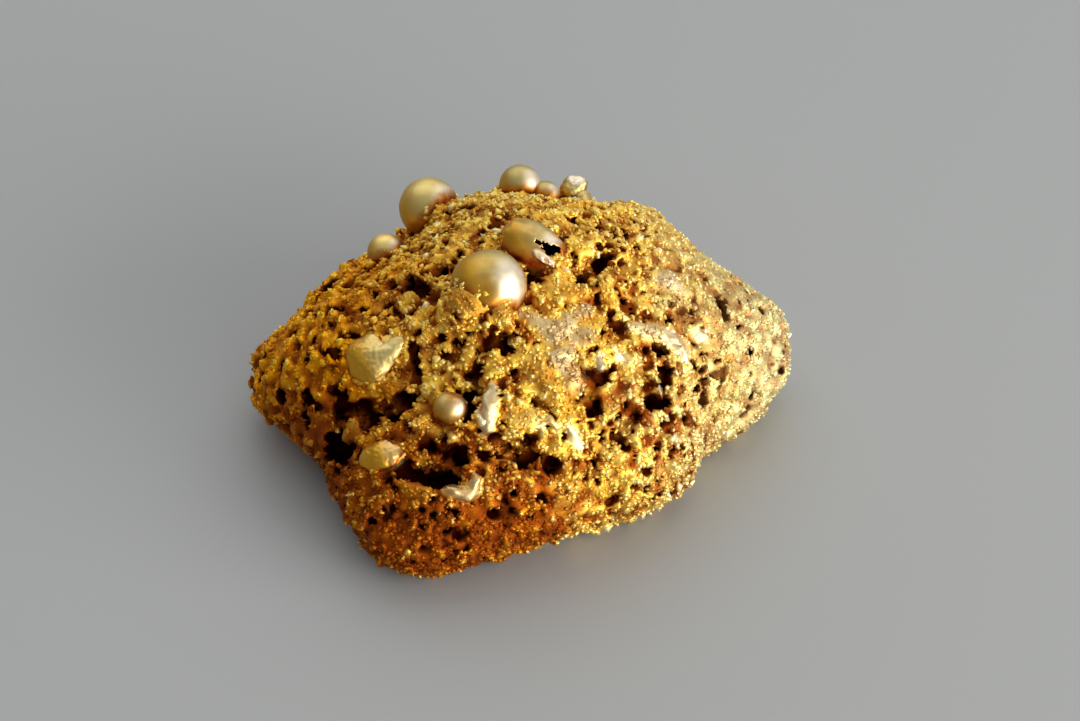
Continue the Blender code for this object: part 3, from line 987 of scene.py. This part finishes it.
def textureNoise(place, size, detail=3.0, roughness=0.5):
    # size in millimetres
    inputs = {"Vector": place, "Scale": 1 / size, "Detail": detail, "Roughness": roughness}
    return made(treeOf(place), "ShaderNodeTexNoise", inputs)


def placeIn(group):
    # where a point of the surface lies, in millimetres
    return scaled(addNode(group, "ShaderNodeTexCoord").outputs["Object"], 1 / mm)


def placeTint():
    # the gold's hue over the lump, partly its own colour and partly painted light: darker mustard on
    # the shaded left, pale cream on the lit right, darker orange low in front, where shade falls
    inputs = {"Left": "Color", "Middle": "Color", "Right": "Color", "Low": "Color", "Patches": "Float"}
    group, given, out = newGroup("placeTint", inputs, {"Color": "Color", "Low": "Float"})
    place = placeIn(group)
    x, y, z = split(place)
    drift = times(minus(textureNoise(place, 3.0), 0.5), 9.0)
    across = calc("MULTIPLY_ADD", drift, 0.7, x)
    colour = blend(fade(across, -9.0, -1.0), given["Left"], given["Middle"])
    colour = blend(fade(across, 2.5, 12.5), colour, given["Right"])
    low = fade(calc("MULTIPLY_ADD", drift, 0.4, z), 3.0, 8.0, 1.0, 0.0)
    front = fade(calc("MULTIPLY_ADD", x, 0.5, y), -9.5, -6.0, 1.0, 0.0)
    mask = times(low, front)
    colour = blend(mask, colour, given["Low"])
    patch = fade(textureNoise(place, 1.1, 4.0, 0.6), 0.5, 0.68)
    rust = blend(1.0, colour, (0.85, 0.55, 0.25, 1), "MULTIPLY")
    colour = blend(times(patch, given["Patches"]), colour, rust)
    plug(out["Color"], colour)
    plug(out["Low"], mask)
    return group


def hollowStain():
    # red-brown to black where the surface lies low between the crumbs and in the pores: the red-brown
    # partly a stain and partly painted shade, the black deep in the pores painted shade
    inputs = {"Color": "Color", "Depth": "Float", "Brown": "Color", "Black": "Color", "Worn": "Float"}
    group, given, out = newGroup("hollowStain", inputs, {"Color": "Color", "Stain": "Float"})
    place = placeIn(group)
    uneven = times(minus(textureNoise(place, 0.8), 0.5), 0.25)
    level = plus(given["Depth"], uneven)
    brown = fade(level, -0.18, 0.08, 1.0, 0.0)
    brown = times(brown, leftOf(given["Worn"], 0.7))
    black = fade(level, -0.55, -0.14, 1.0, 0.0)
    colour = blend(brown, given["Color"], given["Brown"])
    colour = blend(black, colour, given["Black"])
    plug(out["Color"], colour)
    plug(out["Stain"], brown)
    return group


def fineGrain():
    # the finest unevenness, as a height in metres, and a mask of bright worn spots
    sockets = {"Size": "Float", "Height": "Float"}
    group, given, out = newGroup("fineGrain", sockets, {"Height": "Float", "Mask": "Float"})
    place = placeIn(group)
    inputs = {"Vector": place, "Scale": calc("DIVIDE", 1.0, given["Size"]), "Detail": 3.0, "Roughness": 0.6}
    mask = made(group, "ShaderNodeTexNoise", inputs)
    plug(out["Height"], times(times(mask, given["Height"]), mm))
    plug(out["Mask"], mask)
    return group


def groupNode(tree, group, values):
    return addNode(tree, "ShaderNodeGroup", values, node_tree=group).outputs


def attribute(tree, name):
    return addNode(tree, "ShaderNodeAttribute", attribute_name=name).outputs["Fac"]


def newMaterial(name):
    material = bpy.data.materials.new(name)
    material.use_nodes = True
    return material, material.node_tree, material.node_tree.nodes["Principled BSDF"]


# The gold's colour on the left, in the middle, on the right and low in front, and how patchy it is. In
# the crust's tints the cream right, the darker mustard left and the darker orange low front are partly
# painted light and shade.
crustTints = {
    "Left": (0.90, 0.48, 0.016, 1), "Middle": (0.96, 0.70, 0.15, 1), "Right": (0.86, 0.82, 0.48, 1),
    "Low": (0.66, 0.27, 0.010, 1), "Patches": 0.5,
}
mustardTints = {
    "Left": (0.80, 0.46, 0.06, 1), "Middle": (0.84, 0.56, 0.14, 1), "Right": (0.86, 0.62, 0.20, 1),
    "Low": (0.50, 0.22, 0.02, 1), "Patches": 1.0,
}
blisterTints = {
    "Left": (0.92, 0.68, 0.24, 1), "Middle": (0.53, 0.42, 0.16, 1), "Right": (0.80, 0.62, 0.37, 1),
    "Low": (0.80, 0.50, 0.19, 1), "Patches": 0.4,
}
meltedTints = {
    "Left": (0.80, 0.55, 0.22, 1), "Middle": (0.60, 0.46, 0.29, 1), "Right": (0.72, 0.56, 0.36, 1),
    "Low": (0.80, 0.52, 0.22, 1), "Patches": 0.5,
}
colours = {
    "rust": (0.52, 0.21, 0.014, 1),
    "hollow": (0.32, 0.068, 0.006, 1),  # red-brown low between the crumbs, partly a stain and partly painted shade
    # near black deep in the pores: painted shade
    "poreShade": (0.03, 0.002, 0.001, 1),
    # the darker mustard side of a blister: tarnish and painted shade
    "shadeAndTarnish": (0.66, 0.34, 0.02, 1),
    # the pale side of a blister: a painted highlight
    "clean": (0.93, 0.80, 0.62, 1),
    "foot": (0.50, 0.19, 0.025, 1),  # where a blister nears the crust: a stain and painted shade
    "seam": (0.22, 0.035, 0.006, 1),  # and where it meets it: darker, as a stain and painted contact shade
    "lip": (0.90, 0.72, 0.46, 1),
    # the crown's dimple, painted brown as shade in the dent
    "dimpleShade": (0.40, 0.20, 0.02, 1),
    # the inside of a torn skin, painted near black as shade
    "inside": (0.04, 0.006, 0.002, 1),
}


def newGold(name):
    material, tree, shader = newMaterial(name)
    shader.inputs["Metallic"].default_value = 1.0
    return material, tree, shader.inputs


def crustMaterial(groups):
    material, tree, surface = newGold("spongeGold")
    depth, patch, worn, pale = (attribute(tree, name) for name in ("depth", "patch", "worn", "pale"))
    tints = (crustTints, meltedTints, mustardTints)
    tint, melt, mustard = (groupNode(tree, groups["tint"], one) for one in tints)
    grain = groupNode(tree, groups["grain"], {"Size": 0.09, "Height": 0.03})
    skin = blend(pale, mustard["Color"], melt["Color"])
    skin = blend(times(pale, -0.85), skin, colours["rust"])
    base = blend(times(patch, 0.8), tint["Color"], skin)
    # crumbs with a higher tone are brighter; those that stand higher are paler, partly as wear and partly
    # as painted light on their tops, and the low crust between them is darker and redder, as painted shade
    shade = calc("MULTIPLY_ADD", attribute(tree, "tone"), -0.6, 1.5)
    shade = calc("MULTIPLY_ADD", fade(depth, -0.06, 0.27), -0.7, shade)
    shade = larger(shade, times(patch, 1.1))
    crumb = made(tree, "ShaderNodeGamma", {"Color": base, "Gamma": shade})
    # low in front everything is pushed deeper into the stain and painted shade
    level = calc("MULTIPLY_ADD", tint["Low"], -0.14, depth)
    inputs = {"Color": crumb, "Depth": level, "Worn": worn}
    stainAndShade = groupNode(tree, groups["stainAndShade"], inputs | {"Brown": colours["hollow"], "Black": colours["poreShade"]})
    bare = times(attribute(tree, "melted"), minus(1.0, patch))
    melted = times(bare, fade(grain["Mask"], 0.30, 0.5, 0.5, 0.9))
    plug(surface["Base Color"], blend(melted, stainAndShade["Color"], skin))
    rough = fade(grain["Mask"], 0.3, 0.7, 0.46, 0.64)
    rough = calc("MULTIPLY_ADD", stainAndShade["Stain"], 0.12, rough)
    plug(surface["Roughness"], calc("MULTIPLY_ADD", melted, -0.14, rough))
    strength = fade(melted, 0.0, 1.0, 0.8, 0.5)
    bump = {"Height": grain["Height"], "Distance": 1.0, "Strength": strength}
    plug(surface["Normal"], made(tree, "ShaderNodeBump", bump))
    return material


def blisterMaterial(groups):
    material, tree, surface = newGold("blownGold")
    near, aside, clean, mark = (attribute(tree, name) for name in ("near", "aside", "clean", "mark"))
    tint = groupNode(tree, groups["tint"], blisterTints)
    grain = groupNode(tree, groups["grain"], {"Size": 0.35, "Height": 0.010})
    foot = plus(near, times(minus(grain["Mask"], 0.5), 0.6))
    # painted light and shade on the blisters: the darker mustard side as shade and tarnish, the pale side as
    # a highlight, the foot and seam as stain and contact shade, the dimple and the inside of a torn skin as
    # shade
    coats = (
        (fade(aside, -0.25, 0.7, 0.0, 0.95), "shadeAndTarnish"),
        (fade(clean, 0.66, 0.97, 0.0, 0.9), "clean"),
        (fade(foot, 0.30, 0.80), "foot"),
        (fade(foot, 0.72, 1.02), "seam"),
        (times(mark, 1.4), "lip"),
        (times(mark, -0.9), "dimpleShade"),
        (fade(near, 1.2, 1.5), "inside"),
    )
    colour = tint["Color"]
    for share, name in coats:
        colour = blend(share, colour, colours[name])
    plug(surface["Base Color"], colour)
    plug(surface["Roughness"], fade(grain["Mask"], 0.3, 0.7, 0.40, 0.52))
    bump = {"Height": grain["Height"], "Distance": 1.0, "Strength": 0.6}
    plug(surface["Normal"], made(tree, "ShaderNodeBump", bump))
    return material


# The view: from above the front, through a long lens.
cameraAt = {"elevation": 42.0, "distance": 210.0, "target": (0.92, 2.233, 1.925), "lens": 152.6}


def makeCamera():
    tilt = math.radians(cameraAt["elevation"])
    ahead = Vector((0, math.cos(tilt), -math.sin(tilt)))
    data = bpy.data.cameras.new("camera")
    data.lens = cameraAt["lens"]
    data.clip_start, data.clip_end = 0.01, 10.0
    camera = addObject("camera", data)
    camera.location = (Vector(cameraAt["target"]) - ahead * cameraAt["distance"]) * mm
    camera.rotation_euler = ahead.to_track_quat("-Z", "Y").to_euler()
    bpy.context.scene.camera = camera


def makeLamp(name, around, up, away, size, power, colour):
    a, e = math.radians(around), math.radians(up)
    way = Vector((math.cos(a) * math.cos(e), math.sin(a) * math.cos(e), math.sin(e)))
    data = bpy.data.lights.new(name, "AREA")
    data.shape = "RECTANGLE"
    data.size, data.size_y = size
    data.energy, data.color = power, colour
    lamp = addObject(name, data)
    lamp.location = way * away + Vector((0, 0, 4 * mm))
    lamp.rotation_euler = (-way).to_track_quat("-Z", "Y").to_euler()


# Each lamp: how far round and up it stands in degrees, how far away, its size, power and colour.
lamps = {
    "window": (-24, 14, 0.30, (0.26, 0.16), 0.80, (1.0, 0.97, 0.93)),
    "front": (-56, 13, 0.35, (0.30, 0.20), 0.72, (1.0, 0.97, 0.94)),
    "sky": (95, 50, 0.45, (0.80, 0.50), 1.05, (0.96, 0.98, 1.0)),
}
room = {"colour": (0.97, 0.99, 1.0, 1), "brightWay": (0.55, 0.25, 0.8), "brightReach": (-0.5, 0.9),
        "dim": 0.27, "bright": 0.58}
ground = {"half": 1.5, "colour": (0.33, 0.335, 0.33, 1), "roughness": 0.5}  # half its width in metres


def makeStudio():
    for name, lamp in lamps.items():
        makeLamp(name, *lamp)
    world = bpy.data.worlds.new("studio")
    world.use_nodes = True
    tree = world.node_tree
    sky = tree.nodes["Background"]
    sky.inputs["Color"].default_value = room["colour"]
    way = addNode(tree, "ShaderNodeTexCoord").outputs["Generated"]
    toLight = calcVector("DOT_PRODUCT", way, room["brightWay"])
    strength = fade(toLight, *room["brightReach"], room["dim"], room["bright"])
    plug(sky.inputs["Strength"], strength)
    bpy.context.scene.world = world
    mesh = bpy.data.meshes.new("floor")
    half = ground["half"]
    corners = [(-half, -half, 0), (half, -half, 0), (half, half, 0), (-half, half, 0)]
    mesh.from_pydata(corners, [], [(0, 1, 2, 3)])
    floor = addObject("floor", mesh)
    material, _, shader = newMaterial("paleFloor")
    shader.inputs["Base Color"].default_value = ground["colour"]
    shader.inputs["Roughness"].default_value = ground["roughness"]
    mesh.materials.append(material)
    bpy.context.scene.view_settings.view_transform = "Standard"


def keep(piece):
    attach(piece, "root")
    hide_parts("nugget")


makeCamera()
makeStudio()
groups = {"tint": placeTint(), "stainAndShade": hollowStain(), "grain": fineGrain()}
gold = crustMaterial(groups)
blown = blisterMaterial(groups)
findBlisters()
lump = makeBareLump()
lumpTree = solidTree(lump.data)
skinCloud = strokeCloud("skinCloud", skins.values(), lumpTree)
openings = [(rise, "open", way) for rise, way in chambers.values()]
chamberCloud = strokeCloud("chamberCloud", openings, lumpTree)
crustPiece = makeCrust(lump, skinCloud, chamberCloud, gold)
print("crust:", triangleCount(crustPiece.data), "triangles")
pieces = [crustPiece]
pieces += [makeCrumbs(name, crustPiece, gold) for name in crumbs]
pieces += [makeBubble(name, lumpTree, blown) for name in roundBlisters]
pieces += [makeSwelling(name, lumpTree, blown) for name in swellings]
pieces.append(makeTornBlister(lumpTree, blown))
for helper in (lump, skinCloud, chamberCloud):
    bpy.data.objects.remove(helper)
for piece in pieces:
    keep(piece)
print("pieces", len(pieces), "triangles", sum(triangleCount(p.data) for p in pieces))
